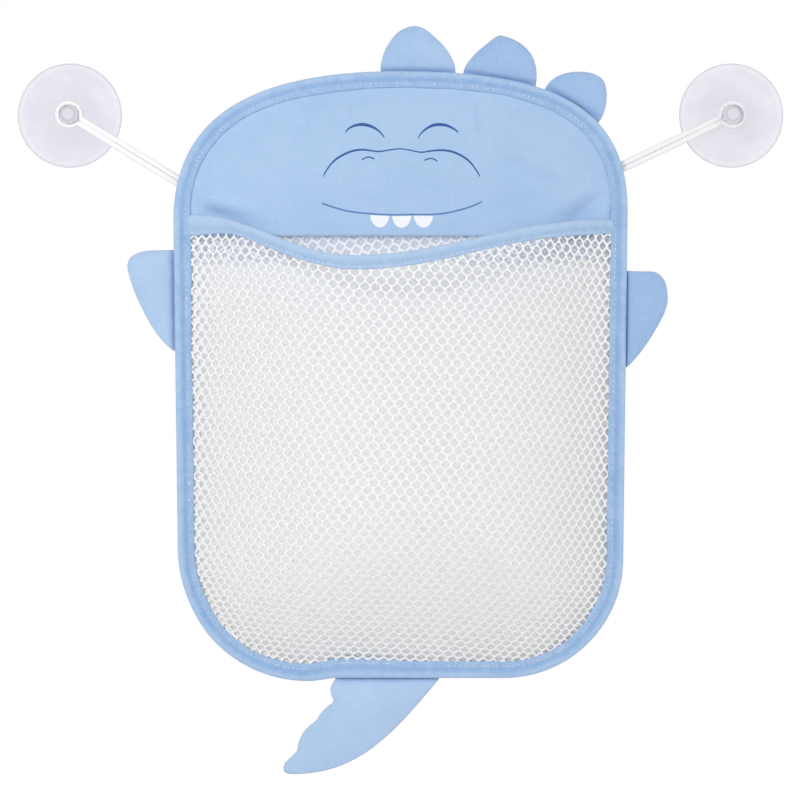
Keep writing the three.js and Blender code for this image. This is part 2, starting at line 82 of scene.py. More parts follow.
class Signal:
    """A shader socket that takes arithmetic."""

    def __init__(self, tree, socket):
        self.tree = tree
        self.socket = socket

    def node(self, kind, inputs, output=0, **settings):
        made = self.tree.nodes.new("ShaderNode" + kind)
        for setting, value in settings.items():
            setattr(made, setting, value)
        for place, value in inputs.items():
            if isinstance(value, Signal):
                self.tree.links.new(value.socket, made.inputs[place])
            else:
                made.inputs[place].default_value = value
        return Signal(self.tree, made.outputs[output])

    def math(self, operation, first, second=0.0):
        return self.node("Math", {0: first, 1: second}, operation=operation)

    def __add__(self, other):
        return self.math("ADD", self, other)

    def __radd__(self, other):
        return self.math("ADD", other, self)

    def __sub__(self, other):
        return self.math("SUBTRACT", self, other)

    def __rsub__(self, other):
        return self.math("SUBTRACT", other, self)

    def __mul__(self, other):
        return self.math("MULTIPLY", self, other)

    def __rmul__(self, other):
        return self.math("MULTIPLY", other, self)

    def __truediv__(self, other):
        return self.math("DIVIDE", self, other)

    def __abs__(self):
        return self.math("ABSOLUTE", self)

    def sine(self):
        return self.math("SINE", self)

    def root(self):
        return self.math("SQRT", self)

    def larger(self, other):
        return self.math("MAXIMUM", self, other)

    def step(self, low, high):
        """From 0 at the first value to 1 at the second, with soft ends."""
        inputs = {0: self, 1: low, 2: high, 3: 0.0, 4: 1.0}
        return self.node("MapRange", inputs, interpolation_type="SMOOTHSTEP")

    def band(self, low, high, soft):
        """1 between two values, with soft ends."""
        return self.step(low - soft, low + soft) * self.step(high + soft, high - soft)

    def parts(self):
        split = self.node("SeparateXYZ", {0: self}).socket.node
        return [Signal(self.tree, socket) for socket in split.outputs]

    def stretched(self, *scales):
        return self.node("VectorMath", {0: self, 1: scales}, operation="MULTIPLY")

    def noise(self, scale, detail=2.0):
        return self.node("TexNoise", {"Vector": self, "Scale": scale, "Detail": detail})

    def blend(self, low, high):
        return self.node("Mix", {0: self, 6: low, 7: high}, output=2, data_type="RGBA")

    def bump(self, strength, distance):
        return self.node("Bump", {"Strength": strength, "Distance": distance, "Height": self})


def colour(red, green, blue):
    """The linear colour of a screen colour."""
    levels = [value / 255 for value in (red, green, blue)]
    return [*(v / 12.92 if v < 0.04045 else ((v + 0.055) / 1.055) ** 2.4 for v in levels), 1]


def new_material(name):
    """A material, its shader's inputs and the object's coordinates as a signal."""
    material = bpy.data.materials.new(name)
    material.use_nodes = True
    tree = material.node_tree
    shader = tree.nodes["Principled BSDF"]
    place = Signal(tree, tree.nodes.new("ShaderNodeTexCoord").outputs["Object"])

    def feed(**values):
        for socket_name, value in values.items():
            socket = shader.inputs[socket_name.replace("_", " ")]
            if isinstance(value, Signal):
                tree.links.new(value.socket, socket)
            else:
                socket.default_value = value

    return material, feed, place


def add_piece(name, bm, material):
    """An object of a finished bmesh, shaded smooth."""
    mesh = bpy.data.meshes.new(name)
    bm.to_mesh(mesh)
    bm.free()
    mesh.shade_smooth()
    mesh.materials.append(material)
    made = bpy.data.objects.new(name, mesh)
    scene.collection.objects.link(made)
    return made


world = bpy.data.worlds.new("studio")
world.use_nodes = True
scene.world = world
background = world.node_tree.nodes["Background"]
rays = world.node_tree.nodes.new("ShaderNodeLightPath")
camera_ray, glossy_ray, clear_ray = (
    Signal(world.node_tree, rays.outputs[f"Is {kind} Ray"]) for kind in ("Camera", "Glossy", "Transmission"))
direct = camera_ray.larger(glossy_ray).larger(clear_ray)
background.inputs["Color"].default_value = (1, 1, 1, 1)
world.node_tree.links.new((ambient + direct * (1 - ambient)).socket, background.inputs["Strength"])

for lamp_name, (lamp_place, lamp_size, lamp_power) in lamps.items():
    lamp_data = bpy.data.lights.new(lamp_name, "AREA")
    lamp_data.size = lamp_size
    lamp_data.energy = lamp_power
    lamp = bpy.data.objects.new(lamp_name, lamp_data)
    lamp.location = lamp_place
    lamp.rotation_euler = (view_centre - lamp.location).to_track_quat("-Z", "Y").to_euler()
    lamp.visible_camera = False
    lamp.visible_glossy = False
    lamp.visible_transmission = False
    scene.collection.objects.link(lamp)

floor_material, feed, place = new_material("floor")
feed(Base_Color=place.noise(4).blend(colour(246, 246, 247), colour(251, 251, 252)), Roughness=0.9)
bm = bmesh.new()
bmesh.ops.create_circle(bm, cap_ends=True, segments=floor_sides, radius=floor_radius)
bmesh.ops.translate(bm, vec=(0, 0, floor_height), verts=bm.verts)
add_piece("floor", bm, floor_material)


# Hanging cords: white braided polyester, one length each, folded in two. The fold lies round the neck of a
# suction cup, and both ends are sewn behind the binding at the shoulder.
cord_radius = 0.0016
cord_level = -0.011
cord_lay = 0.00148
fold_radius = 0.00635
fold_leave = math.radians(42)
fold_close = 0.0092
cord_bow = 1.2
cord_tuck = 0.011
cord_sides = 12
cord_step = 0.0009
braid_turns = 5
braid_pitch = 0.0042
cup_reach = 0.1895
cords = {"left": (-cup_reach, (-0.12691, -0.038)), "right": (cup_reach, (0.12639, -0.030))}


def bezier(start, leave, arrive, end, steps):
    """Points on a cubic curve, without its end."""
    t = numpy.linspace(0, 1, steps, endpoint=False)[:, None]
    ends = [numpy.asarray(point, float) for point in (start, leave, arrive, end)]
    weights = ((1 - t) ** 3, 3 * t * (1 - t) ** 2, 3 * t ** 2 * (1 - t), t ** 3)
    return sum(weight * point for weight, point in zip(weights, ends))


def distances(points):
    """How far along a line of points each of them lies."""
    steps = numpy.linalg.norm(numpy.diff(points, axis=0), axis=1)
    return numpy.concatenate([[0], numpy.cumsum(steps)])


def evenly(points, count):
    """Points at even distances along a line of points, both ends included, and the line's length."""
    points = numpy.asarray(points, float)
    along = distances(points)
    places = numpy.linspace(0, along[-1], count)
    return numpy.stack([numpy.interp(places, along, column) for column in points.T], axis=1), along[-1]


def cord_route(run):
    """A cord's line on its own axes: x from the cup to the bag, y to the side, from one end to the other."""
    turns = numpy.linspace(math.pi, fold_leave, 24)
    fold = fold_radius * numpy.stack([numpy.cos(turns), numpy.sin(turns)], axis=1)
    heading = numpy.array([math.sin(fold_leave), -math.cos(fold_leave)])
    beside = (fold_close, cord_lay)
    onward = fold[-1] + heading * fold_radius * 2 / 3
    closing = bezier(fold[-1], onward, (fold_close * 2 / 3, cord_lay), beside, 12)
    slack = bezier(beside, (run / 3, cord_lay), (run / 2, cord_bow * cord_lay), (run, cord_lay), 60)
    half = numpy.concatenate([fold[:-1], closing, slack, [(run, cord_lay)]])
    return numpy.concatenate([half[:0:-1] * (1, -1), half])


def next_row(bm, edges):
    """The vertices and the edges of a row drawn out from a row of edges."""
    made = bmesh.ops.extrude_edge_only(bm, edges=edges)["geom"]
    fresh = {item for item in made if isinstance(item, bmesh.types.BMVert)}
    rims = [item for item in made if isinstance(item, bmesh.types.BMEdge)]
    return fresh, [edge for edge in rims if fresh.issuperset(edge.verts)]


def add_cord(name, cup_x, leaving):
    """A round cord swept along its route, with its length and its turn kept for the braid."""
    reach = Vector(leaving) - Vector((cup_x, 0))
    along = reach.normalized()
    side = Vector((-along.y, along.x))
    route = cord_route(reach.length + cord_tuck)
    flat, length = evenly(route, round(evenly(route, 2)[1] / cord_step))
    path = [
        Vector((cup_x + along.x * a + side.x * b, cord_level, along.y * a + side.y * b))
        for a, b in flat
    ]
    up = Vector((0, 1, 0))
    stations = []
    for before, point, after in zip(path[:1] + path, path, path[1:] + path[-1:]):
        ahead = (after - before).normalized()
        turn = Matrix((ahead.cross(up).normalized(), up, ahead)).transposed().to_4x4()
        stations.append(Matrix.Translation(point) @ turn)
    bm = bmesh.new()
    uv = bm.loops.layers.uv.new("braid")
    ring = bmesh.ops.create_circle(bm, segments=cord_sides, radius=cord_radius, matrix=stations[0])["verts"]
    grid = {vert: (0, k) for k, vert in enumerate(ring)}
    edges = bm.edges[:]
    for k in range(1, len(stations)):
        fresh, edges = next_row(bm, edges)
        for vert in fresh:
            partner = next(e.other_vert(vert) for e in vert.link_edges if e.other_vert(vert) not in fresh)
            grid[vert] = (k, grid[partner][1])
        bmesh.ops.transform(bm, matrix=stations[k] @ stations[k - 1].inverted(), verts=list(fresh))
    bmesh.ops.holes_fill(bm, edges=[edge for edge in bm.edges if edge.is_boundary], sides=cord_sides)
    bmesh.ops.recalc_face_normals(bm, faces=bm.faces)
    for face in bm.faces:
        first = max(grid[loop.vert][1] for loop in face.loops)
        for loop in face.loops:
            station, turn = grid[loop.vert]
            wrapped = turn + cord_sides if first == cord_sides - 1 and turn == 0 else turn
            loop[uv].uv = (station * length / len(stations), wrapped / cord_sides)
    return add_piece(name, bm, cord_material), path, length


cord_material, feed, place = new_material("cord")
along, around, _ = place.node("UVMap", {}, uv_map="braid").parts()
winding = along * (math.tau / braid_pitch)
spread = around * (math.tau * braid_turns)
braid = (spread + winding).sine().larger((spread - winding).sine())
feed(
    Base_Color=braid.step(0.0, 0.9).blend(colour(244, 245, 246), colour(252, 252, 252)),
    Roughness=0.75,
    Sheen_Weight=0.2,
    Normal=braid.bump(0.22, 0.0003),
)

for side_name, (cup_x, leaving) in cords.items():
    cord, path, length = add_cord(f"{side_name}_braided_cord", cup_x, leaving)
    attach(cord, f"{side_name}_cord")
    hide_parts(f"{side_name}_cord")


# Suction cups: clear soft PVC, moulded in one piece. A thin lip and a hollow underside hold on the wall, and
# a neck with a mushroom head keeps the cord on. The PVC's colour has painted shade over its thick middle, on
# its rim and in a ring on the knob, and a painted highlight in a ring inside the rim.
cup_rim = 0.030
cup_lip = 0.0035
cup_edge = 0.0012
cup_height = 0.0092
cup_hollow = 0.005
neck = 0.00435
neck_top = 0.0128
neck_fillet = 0.0006
knob = 0.0055
knob_edge = 0.0014
knob_top = 0.0168
cup_steps = 72
cup_weld = 0.000005
# Bands of painted shade and painted highlight on the PVC, by distance from the cup's axis.
body_shade_from = 0.024
body_shade_to = 0.008
rim_shade = 0.0009
lip_highlight_margin = 0.0012
knob_shade_inner = knob * 0.58
knob_shade_outer = knob * 0.84
knob_soft = 0.001

cup_material, feed, place = new_material("clear_pvc")
x, y, z = place.parts()
aside = abs(x) - cup_reach
from_axis = (aside * aside + z * z).root()
haze = place.noise(60, 3)
clear = haze.step(0.35, 0.65).blend(colour(236, 236, 246), colour(243, 243, 252))
on_knob = y.step(knob_soft - neck_top, -knob_soft - neck_top)
# Painted shade over the thick middle, on the rim and in a ring on the knob; painted highlight in a ring
# inside the rim.
for share, tint in [
    (from_axis.step(body_shade_from, body_shade_to) * 0.45, colour(224, 224, 233)),
    (from_axis.band(cup_rim - cup_lip, cup_rim - lip_highlight_margin, 0.0006) * 0.5, colour(249, 249, 252)),
    (from_axis.band(cup_rim - rim_shade, cup_rim, 0.0003) * 0.6, colour(214, 215, 222)),
    (from_axis.band(knob_shade_inner, knob_shade_outer, 0.0004) * on_knob * 0.8, colour(188, 188, 200)),
]:
    clear = share.blend(clear, tint)
feed(
    Base_Color=clear,
    Roughness=0.16 + haze * 0.1,
    IOR=1.46,
    Transmission_Weight=0.85,
    Specular_IOR_Level=0.4,
)


def straight(start, end, steps):
    """Points on a straight line, closer together at its ends, without its end."""
    return bezier(start, start, end, end, steps)


lip_start = cup_rim - cup_lip
lip_foot = (lip_start, 0)
rim_under = (cup_rim - cup_edge / 3, 0)
rim_over = (cup_rim - cup_edge / 2, cup_edge)
body_top = (neck + neck_fillet, cup_height)
neck_foot = (neck, cup_height + neck_fillet)
neck_end = (neck, neck_top)
knob_under = (knob - knob_edge, neck_top)
knob_side = (knob, neck_top + knob_edge)
cup_profile = numpy.concatenate([
    bezier((0, cup_hollow), (cup_rim / 3, cup_hollow), (lip_start * 2 / 3, cup_hollow / 2), lip_foot, 12),
    straight(lip_foot, rim_under, 3),
    bezier(rim_under, (cup_rim, 0), (cup_rim, cup_edge), rim_over, 6),
    bezier(rim_over, (cup_rim * 2 / 3, cup_height / 2), (neck * 2, cup_height), body_top, 16),
    bezier(body_top, (neck, cup_height), (neck, cup_height), neck_foot, 4),
    straight(neck_foot, neck_end, 4),
    straight(neck_end, knob_under, 2),
    bezier(knob_under, (knob, neck_top), (knob, neck_top), knob_side, 6),
    bezier(knob_side, (knob, knob_top), (knob / 2, knob_top), (0, knob_top), 10),
    [(0, knob_top)],
])
for side_name, (cup_x, _) in cords.items():
    bm = bmesh.new()
    verts = [bm.verts.new((radius, -height, 0)) for radius, height in cup_profile]
    edges = [bm.edges.new(pair) for pair in zip(verts, verts[1:])]
    bmesh.ops.spin(
        bm, geom=verts + edges, cent=(0, 0, 0), axis=(0, 1, 0), angle=math.tau, steps=cup_steps,
        use_merge=True)
    bmesh.ops.remove_doubles(bm, verts=bm.verts, dist=cup_weld)
    bmesh.ops.recalc_face_normals(bm, faces=bm.faces)
    bmesh.ops.translate(bm, vec=(cup_x, 0, 0), verts=bm.verts)
    cup = add_piece(f"{side_name}_clear_cup", bm, cup_material)
    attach(cup, f"{side_name}_cup")
    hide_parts(f"{side_name}_suction_cup")


# Head panel: one ply of light blue woven polyester with a printed sleeping smile, sewn into the binding,
# with the back net lapped behind its straight hem. A side of the bag's outline has the height of the dome,
# the pulls of its curve at the shoulder and at the top, and the radius of the corner.
bag_top = 0.0245
bag_bottom = -0.3215
shoulder_half = 0.1295
base_half = 0.127
left_side = (0.0855, 0.742, 0.61, 0.074)
right_side = (0.0797, 0.75, 0.674, 0.068)
corner_pull = 0.5523
edge_count = 1080
binding_width = 0.0098
head_level = 0.01485
head_inset = 0.0015
head_cell = 0.0016
head_ply = 0.0005
hem_height = -0.0697
hem_fold = 0.010
weave_pitch = 0.0007


def half_outline(dome, shoulder_pull, top_pull, corner):
    """The right half of the bag's outline, from the middle of the bottom to the middle of the top."""
    shoulder = bag_top - dome
    corner_top = bag_bottom + corner
    corner_x = base_half - corner
    pull = corner_pull * corner
    return numpy.concatenate([
        [(0, bag_bottom)],
        bezier(
            (corner_x, bag_bottom), (corner_x + pull, bag_bottom), (base_half, corner_top - pull),
            (base_half, corner_top), 40),
        straight((base_half, corner_top), (shoulder_half, shoulder), 4),
        bezier(
            (shoulder_half, shoulder), (shoulder_half, shoulder + shoulder_pull * dome),
            (top_pull * shoulder_half, bag_top), (0, bag_top), 60),
        [(0, bag_top)],
    ])


outline = numpy.concatenate([half_outline(*right_side), half_outline(*left_side)[-2::-1] * (-1, 1)])


def edge_stations(count, inset=0.0):
    """Points along the bag's outline, counterclockwise from the middle of the bottom edge, moved inwards,
    with the inward direction at each."""
    ring = evenly(outline, edge_count + 1)[0][:-1]
    ahead = numpy.roll(ring, -1, axis=0) - numpy.roll(ring, 1, axis=0)
    inward = numpy.stack([-ahead[:, 1], ahead[:, 0]], axis=1) / numpy.linalg.norm(ahead, axis=1)[:, None]
    places = numpy.linspace(0, edge_count, count, endpoint=False)
    index = numpy.arange(edge_count)
    at = [numpy.interp(places, index, column, period=edge_count) for column in (*ring.T, *inward.T)]
    return [(Vector((x + inset * a, z + inset * b)), Vector((a, b))) for x, z, a, b in zip(*at)]


edge_tree = kdtree.KDTree(edge_count)
edge_directions = []
for k, (point, inward) in enumerate(edge_stations(edge_count)):
    edge_tree.insert((point.x, point.y, 0), k)
    edge_directions.append(inward)
edge_tree.balance()


def edge_distance(x, z):
    """How far a point lies from the bag's outline, less than 0 outside it."""
    near, index, distance = edge_tree.find((x, z, 0))
    inward = edge_directions[index]
    return distance if (x - near.x) * inward.x + (z - near.y) * inward.y > 0 else -distance


def ease(value, low, high):
    """From 0 at the first value to 1 at the second, with soft ends."""
    share = min(1, max(0, (value - low) / (high - low)))
    return share * share * (3 - 2 * share)


def woven_cloth(name, low, high, print_on=None):
    """Plain-woven polyester: fine crossed threads, a little sheen and a soft uneven shade."""
    material, feed, place = new_material(name)
    x, y, z = place.parts()
    threads = (x * (math.tau / weave_pitch)).sine() * (z * (math.tau / weave_pitch)).sine()
    slubs = place.stretched(90, 1, 1600).noise(1, 2) + place.stretched(1600, 1, 90).noise(1, 2)
    shade = place.noise(28, 3) * 0.4 + place.noise(160, 2) * 0.15 + slubs * 0.4
    cloth = shade.step(0.45, 0.9).blend(low, high)
    if print_on:
        cloth = print_on(cloth, place)
    fuzz = place.noise(1400, 2)
    feed(
        Base_Color=cloth,
        Roughness=0.72 + fuzz * 0.2,
        Sheen_Weight=0.12,
        Normal=(threads * 0.5 + fuzz * 0.4 + slubs).bump(0.3, 0.0003),
    )
    return material


# The print: thin navy lines for closed eyes, muzzle, nostrils and mouth, and three white teeth, in
# millimetres from the middle between the cups. A line has its points, left to right, and half its width in
# the middle and at its ends.
ink_dark = colour(54, 94, 156)
ink_pale = colour(92, 132, 186)
tooth_white = colour(248, 250, 254)
eye_lines = [
    [
        (-31.4, -10.9), (-29.9, -9.0), (-27.6, -7.5), (-24.8, -6.6), (-21.5, -6.3), (-18.5, -6.8),
        (-15.1, -8.1), (-12.2, -10.2), (-9.1, -13.7),
    ],
    [
        (9.8, -14.3), (11.7, -11.4), (14.5, -8.9), (17.4, -7.2), (20.8, -6.4), (24.2, -6.5), (27.1, -7.2),
        (30.0, -8.6), (33.0, -10.8),
    ],
]
muzzle_line = [
    (-44.4, -36.9), (-42.9, -33.9), (-40.8, -30.6), (-38.5, -27.8), (-35.6, -25.4), (-31.6, -23.1),
    (-27.1, -21.4), (-22.0, -20.7), (-17.5, -21.1), (-12.8, -21.7), (-6.6, -20.9), (-1.0, -20.2),
    (4.8, -20.8), (9.2, -21.8), (12.5, -22.1), (16.4, -21.5), (22.0, -21.0), (27.6, -21.4), (32.2, -22.9),
    (36.6, -25.3), (39.6, -27.8), (42.2, -31.1), (45.6, -36.6),
]
nostril_lines = [
    [(-22.0, -26.4), (-20.6, -25.6), (-18.4, -24.9), (-16.6, -25.2), (-14.8, -26.0)],
    [(13.5, -26.8), (15.2, -26.0), (17.0, -25.7), (18.9, -26.0), (21.0, -27.3)],
]
mouth_line = [
    (-45.2, -50.9), (-40.2, -52.7), (-35.6, -54.1), (-31.1, -55.3), (-26.5, -56.1), (-19.7, -56.8),
    (-6.0, -57.6), (7.5, -57.5), (19.1, -57.4), (25.9, -56.6), (32.8, -55.1), (39.6, -53.1), (46.8, -49.9),
]
eye_half = (0.95, 0.6)
muzzle_half = (0.36, 0.75)
nostril_half = (0.4, 0.45)
mouth_half = (0.46, 0.5)
ink_soft = 0.12
line_end = 0.01
teeth = [-11.9, 0.7, 13.1]
tooth_half = 5.6
tooth_drop = 7.6
tooth_root = 0.05
tooth_soft = 0.12
print_low = -75.0
print_high = 5.0


def facing_front(place):
    """1 on faces that look out from the wall, 0 on those that look back at it."""
    return place.node("TexCoord", {}, output="Normal").parts()[1].step(0.1, -0.1)


def print_face(cloth, place):
    """The cloth's colour with the print on its front."""
    across, _, up = place.stretched(1000, 1000, 1000).parts()
    front = facing_front(place)

    def line_height(points):
        """The height of a line at a place across, and the share of the line left of it."""
        left, right = points[0][0], points[-1][0]
        share = (across - left) / (right - left)
        curve = share.node("FloatCurve", {1: share})
        mapping = curve.socket.node.mapping
        spots = mapping.curves[0].points
        for _ in points[1:-1]:
            spots.new(0.5, 0.5)
        for spot, (px, pz) in zip(spots, points):
            spot.location = ((px - left) / (right - left), (pz - print_low) / (print_high - print_low))
        mapping.update()
        return curve * (print_high - print_low) + print_low, share

    def stroke(points, middle, ends):
        """1 on a line, 0 beside it."""
        height, share = line_height(points)
        bow = 1.0 - abs(share * 2.0 - 1.0).step(0.0, 1.0)
        half = bow * (middle - ends) + ends
        inside = abs(share - 0.5).step(0.5, 0.5 - line_end)
        return ((half + ink_soft) - abs(up - height)).step(0.0, 2 * ink_soft) * inside * front

    lip, _ = line_height(mouth_line)
    down = (lip - up) / tooth_drop
    for tooth in teeth:
        aside = (across - tooth) / tooth_half
        round_end = (1.0 - (aside * aside + down * down)).step(0.0, tooth_soft) * front
        cloth = (round_end * down.step(tooth_root, tooth_soft)).blend(cloth, tooth_white)
    cloth = stroke(mouth_line, *mouth_half).blend(cloth, ink_pale)
    for points, widths in [
        (muzzle_line, muzzle_half), *((line, eye_half) for line in eye_lines),
        *((line, nostril_half) for line in nostril_lines),
    ]:
        cloth = stroke(points, *widths).blend(cloth, ink_dark)
    return cloth


# The folds in the cloth fall back from the binding and from the corners of the mouth, and the last two stand
# out above them. Each has a start, an end, a width and a depth in millimetres.
folds = [
    ((-29, 18), (-29, -8), 1.7, 1.4),
    ((-9, 18), (-8, 2), 2.4, 0.9),
    ((12, 18), (12, -5), 1.7, 1.2),
    ((42, 17), (46, -24), 2.2, 2.2),
    ((64, 13), (74, -14), 3.2, 1.6),
    ((-52, 15), (-64, -24), 5.0, 2.2),
    ((-96, -4), (-78, -32), 5.0, 2.2),
    ((96, -64), (124, -40), 5.0, 4.4),
    ((-122, -53), (-76, -68), 4.8, 4.6),
    ((58, -28), (94, -44), 6.0, 2.4),
    ((80, -60), (114, -34), 5.5, -1.8),
    ((-116, -46), (-70, -60), 4.5, -1.6),
]
fold_start = (-0.2, 0.15)
fold_end = (1.1, 0.5)
head_slack = 0.0034
slack_reach = 0.022
head_bulge = 0.0034
bulge_reach = 0.045
bulge_rise = 0.04
uneven_depth = 0.0012
uneven_scale = 22
pucker_depth = 0.0004
pucker_scale = 130
pucker_reach = (0.007, 0.015)
hem_step = 0.0004
hem_soft = 0.0008
outline_cuts = 96


def fold_depth(x, z):
    """How far the folds fall back at a place."""
    depth = 0
    for start, end, width, deep in folds:
        run = Vector(end) - Vector(start)
        spot = Vector((x * 1000, z * 1000)) - Vector(start)
        share = spot.dot(run) / run.length_squared
        aside = run.cross(spot) / run.length
        depth += deep * math.exp(-(aside / width) ** 2) * ease(share, *fold_start) * ease(share, *fold_end)
    return depth / 1000


head_material = woven_cloth("head_cloth", colour(168, 197, 231), colour(179, 206, 239), print_face)
bm = bmesh.new()
head_middle = (bag_top + hem_height) / 2
head_half = (bag_top - hem_height) / 2
head_spread = Matrix.Translation((0, head_middle, 0)) @ Matrix.Diagonal((shoulder_half, head_half, 1, 1))
bmesh.ops.create_grid(
    bm, x_segments=round(2 * shoulder_half / head_cell), y_segments=round(2 * head_half / head_cell),
    size=1, matrix=head_spread)
for point, inward in edge_stations(outline_cuts, head_inset):
    bmesh.ops.bisect_plane(
        bm, geom=bm.verts[:] + bm.edges[:] + bm.faces[:], plane_co=(point.x, point.y, 0),
        plane_no=(-inward.x, -inward.y, 0), clear_outer=True)
for vert in bm.verts:
    x, z, _ = vert.co
    from_edge = edge_distance(x, z)
    loose = ease(from_edge, binding_width, slack_reach)
    free = ease(from_edge, binding_width, bulge_reach) * ease(z, hem_height, hem_height + bulge_rise)
    uneven = uneven_depth * noise.noise((x * uneven_scale, z * uneven_scale, 0.3)) * free
    crinkle = 1 + noise.noise((x * pucker_scale, z * pucker_scale, 2))
    pucker = pucker_depth * crinkle * ease(from_edge, *pucker_reach) * (1 - free)
    slack = head_slack * loose + head_bulge * free + uneven - fold_depth(x, z) * loose
    hem = hem_step * ease(-z, -hem_height - hem_fold - hem_soft, -hem_height - hem_fold)
    vert.co = (x, -head_level - max(0, slack) - pucker - hem, z)
bmesh.ops.recalc_face_normals(bm, faces=bm.faces)
head = add_piece("head_cloth_panel", bm, head_material)
thickness = head.modifiers.new("ply", "SOLIDIFY")
thickness.thickness = head_ply
thickness.offset = 0
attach(head, "bag")
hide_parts("head_panel")


# Nets: white knitted polyester net with rounded gaps in staggered rows, laid a little askew. The back net is
# flat and lapped behind the hem, and a pale web closes its gaps but for a pinhole: painted shade, a sheet
# that stands in for the shade seen through the gaps. The front net is a full pocket whose edge is held in
# the binding and whose top sags open.
net_pitch = 0.0060
net_row = 0.0041
net_upright = 0.0017
net_strand = 0.0010
net_web_strand = 0.0008
net_round = 0.5
net_thickness = 0.0008
net_inset = 0.0070
net_hole = 0.0024
net_pinhole = 0.0004
net_gather = 0.030
net_waver = 0.0010
waver_length = 0.022
net_samples = 121
back_tilt = math.radians(-11)
front_tilt = math.radians(5)
front_gather = 0.85
back_lap = 0.6
mouth_lap = 0.0052
# The band below the hem where the back net's web has painted shade, the web's colour and the painted shade's
# colour.
hem_shade_start = 0.012
hem_shade_end = 0.019
shade_web = colour(246, 246, 246)
hem_and_back_shade = colour(211, 216, 229)
back_net_level = 0.01405
front_net_level = 0.01565
belly_depth = 0.054
mouth_depth = 0.036
pocket_round = 0.095
belly_share = 0.35
mouth_left = (-0.1194, -0.0575)
mouth_lowest = (-0.027, -0.0815)
mouth_right = (0.1193, -0.0605)
pocket_start = 0.0101


def mouth_height(x):
    """The height of the mouth's edge: highest at the sides, lowest left of the middle."""
    end_x, end_height = mouth_left if x < mouth_lowest[0] else mouth_right
    share = min(1, (x - mouth_lowest[0]) / (end_x - mouth_lowest[0]))
    return mouth_lowest[1] + (end_height - mouth_lowest[1]) * math.sin(share * math.pi / 2) ** 2


def pocket_point(x, z):
    """A point of the pocket in front of a place on the wall."""
    rise = min(1, max(0, (edge_distance(x, z) - pocket_start) / pocket_round))
    height = (z - bag_bottom) / (mouth_height(x) - bag_bottom)
    depth = belly_depth + (mouth_depth - belly_depth) * ease(height, belly_share, 1)
    return Vector((x, -front_net_level - depth * math.sin(rise * math.pi / 2), z))


def back_point(x, z):
    """A point of the back net in front of a place on the wall."""
    return Vector((x, -back_net_level, z))


def spread_over(surface, places):
    """The distance along a surface at each of a row of places, from the middle one."""
    along = distances(numpy.array([surface(*place) for place in places]))
    return along - along[len(along) // 2]


def add_net(name, surface, top, tilt, gathered, webbed, finish):
    """A net panel whose gaps are even along the surface that it lies on, below a top line, and narrower
    where it is gathered into the binding. They are webbed or open."""
    x_places = numpy.linspace(-shoulder_half, shoulder_half, net_samples)
    z_middle = (bag_bottom + hem_height) / 2
    z_places = numpy.linspace(bag_bottom, hem_height + 2 * hem_fold, net_samples)
    u_places = spread_over(surface, [(x, z_middle) for x in x_places])
    v_places = spread_over(surface, [(0, z) for z in z_places])
    reach = math.hypot(u_places[-1], v_places[-1])
    columns = math.ceil(reach / net_pitch)
    rows = math.ceil(reach / net_row)
    tip = net_row - net_upright / 2
    side = net_upright / 2
    cell = [
        (0, tip), (-net_pitch / 2, side), (-net_pitch / 2, -side),
        (0, -tip), (net_pitch / 2, -side), (net_pitch / 2, side),
    ]

    def to_wall(p, q):
        """The place on the wall of a place on the net laid flat."""
        u = p * math.cos(tilt) + q * math.sin(tilt) + net_waver * math.sin(q / waver_length)
        v = q * math.cos(tilt) - p * math.sin(tilt) + net_waver * math.sin(p / waver_length)
        return float(numpy.interp(u, u_places, x_places)), float(numpy.interp(v, v_places, z_places))

    bm = bmesh.new()
    # Marks the web of a webbed net, the sheet that stands in for shade: painted shade.
    fine = bm.verts.layers.float.new("shade_web")
    for row in range(-rows, rows + 1):
        for column in range(-columns, columns + 1):
            p, q = (column + row % 2 / 2) * net_pitch, row * net_row
            x, z = to_wall(p, q)
            if edge_distance(x, z) > net_inset and z < top(x):
                bm.faces.new([bm.verts.new((p + a, q + b, 0)) for a, b in cell])
    bmesh.ops.remove_doubles(bm, verts=bm.verts, dist=net_strand / 10)
    if not webbed:
        bmesh.ops.subdivide_edges(bm, edges=bm.edges, cuts=1)
    gaps = bm.faces[:]
    strand = net_web_strand if webbed else net_strand
    bmesh.ops.inset_individual(bm, faces=gaps, thickness=strand / 2, use_even_offset=True)
    # A webbed net's gaps are closed by a pale web but for a pinhole: painted shade, a sheet standing in for
    # the shade seen through them.
    if webbed:
        bmesh.ops.inset_individual(bm, faces=gaps, thickness=strand, use_even_offset=True)
    for gap in gaps:
        centre = gap.calc_center_median()
        from_edge = edge_distance(*to_wall(centre.x, centre.y))
        open_share = gathered + (1 - gathered) * ease(from_edge, net_inset, net_gather)
        rounding, hole = (1, net_pinhole) if webbed else (net_round, net_hole * open_share)
        for vert in gap.verts:
            spoke = vert.co - centre
            vert.co = centre + spoke * (1 - rounding + rounding * hole / spoke.length)
            vert[fine] = webbed
    bmesh.ops.delete(bm, geom=gaps, context="FACES_ONLY")
    for vert in bm.verts:
        vert.co = surface(*to_wall(vert.co.x, vert.co.y))
    bmesh.ops.recalc_face_normals(bm, faces=bm.faces)
    made = add_piece(name, bm, finish)
    thickness = made.modifiers.new("strand", "SOLIDIFY")
    thickness.thickness = net_thickness
    thickness.offset = 0
    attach(made, "bag")
    return made


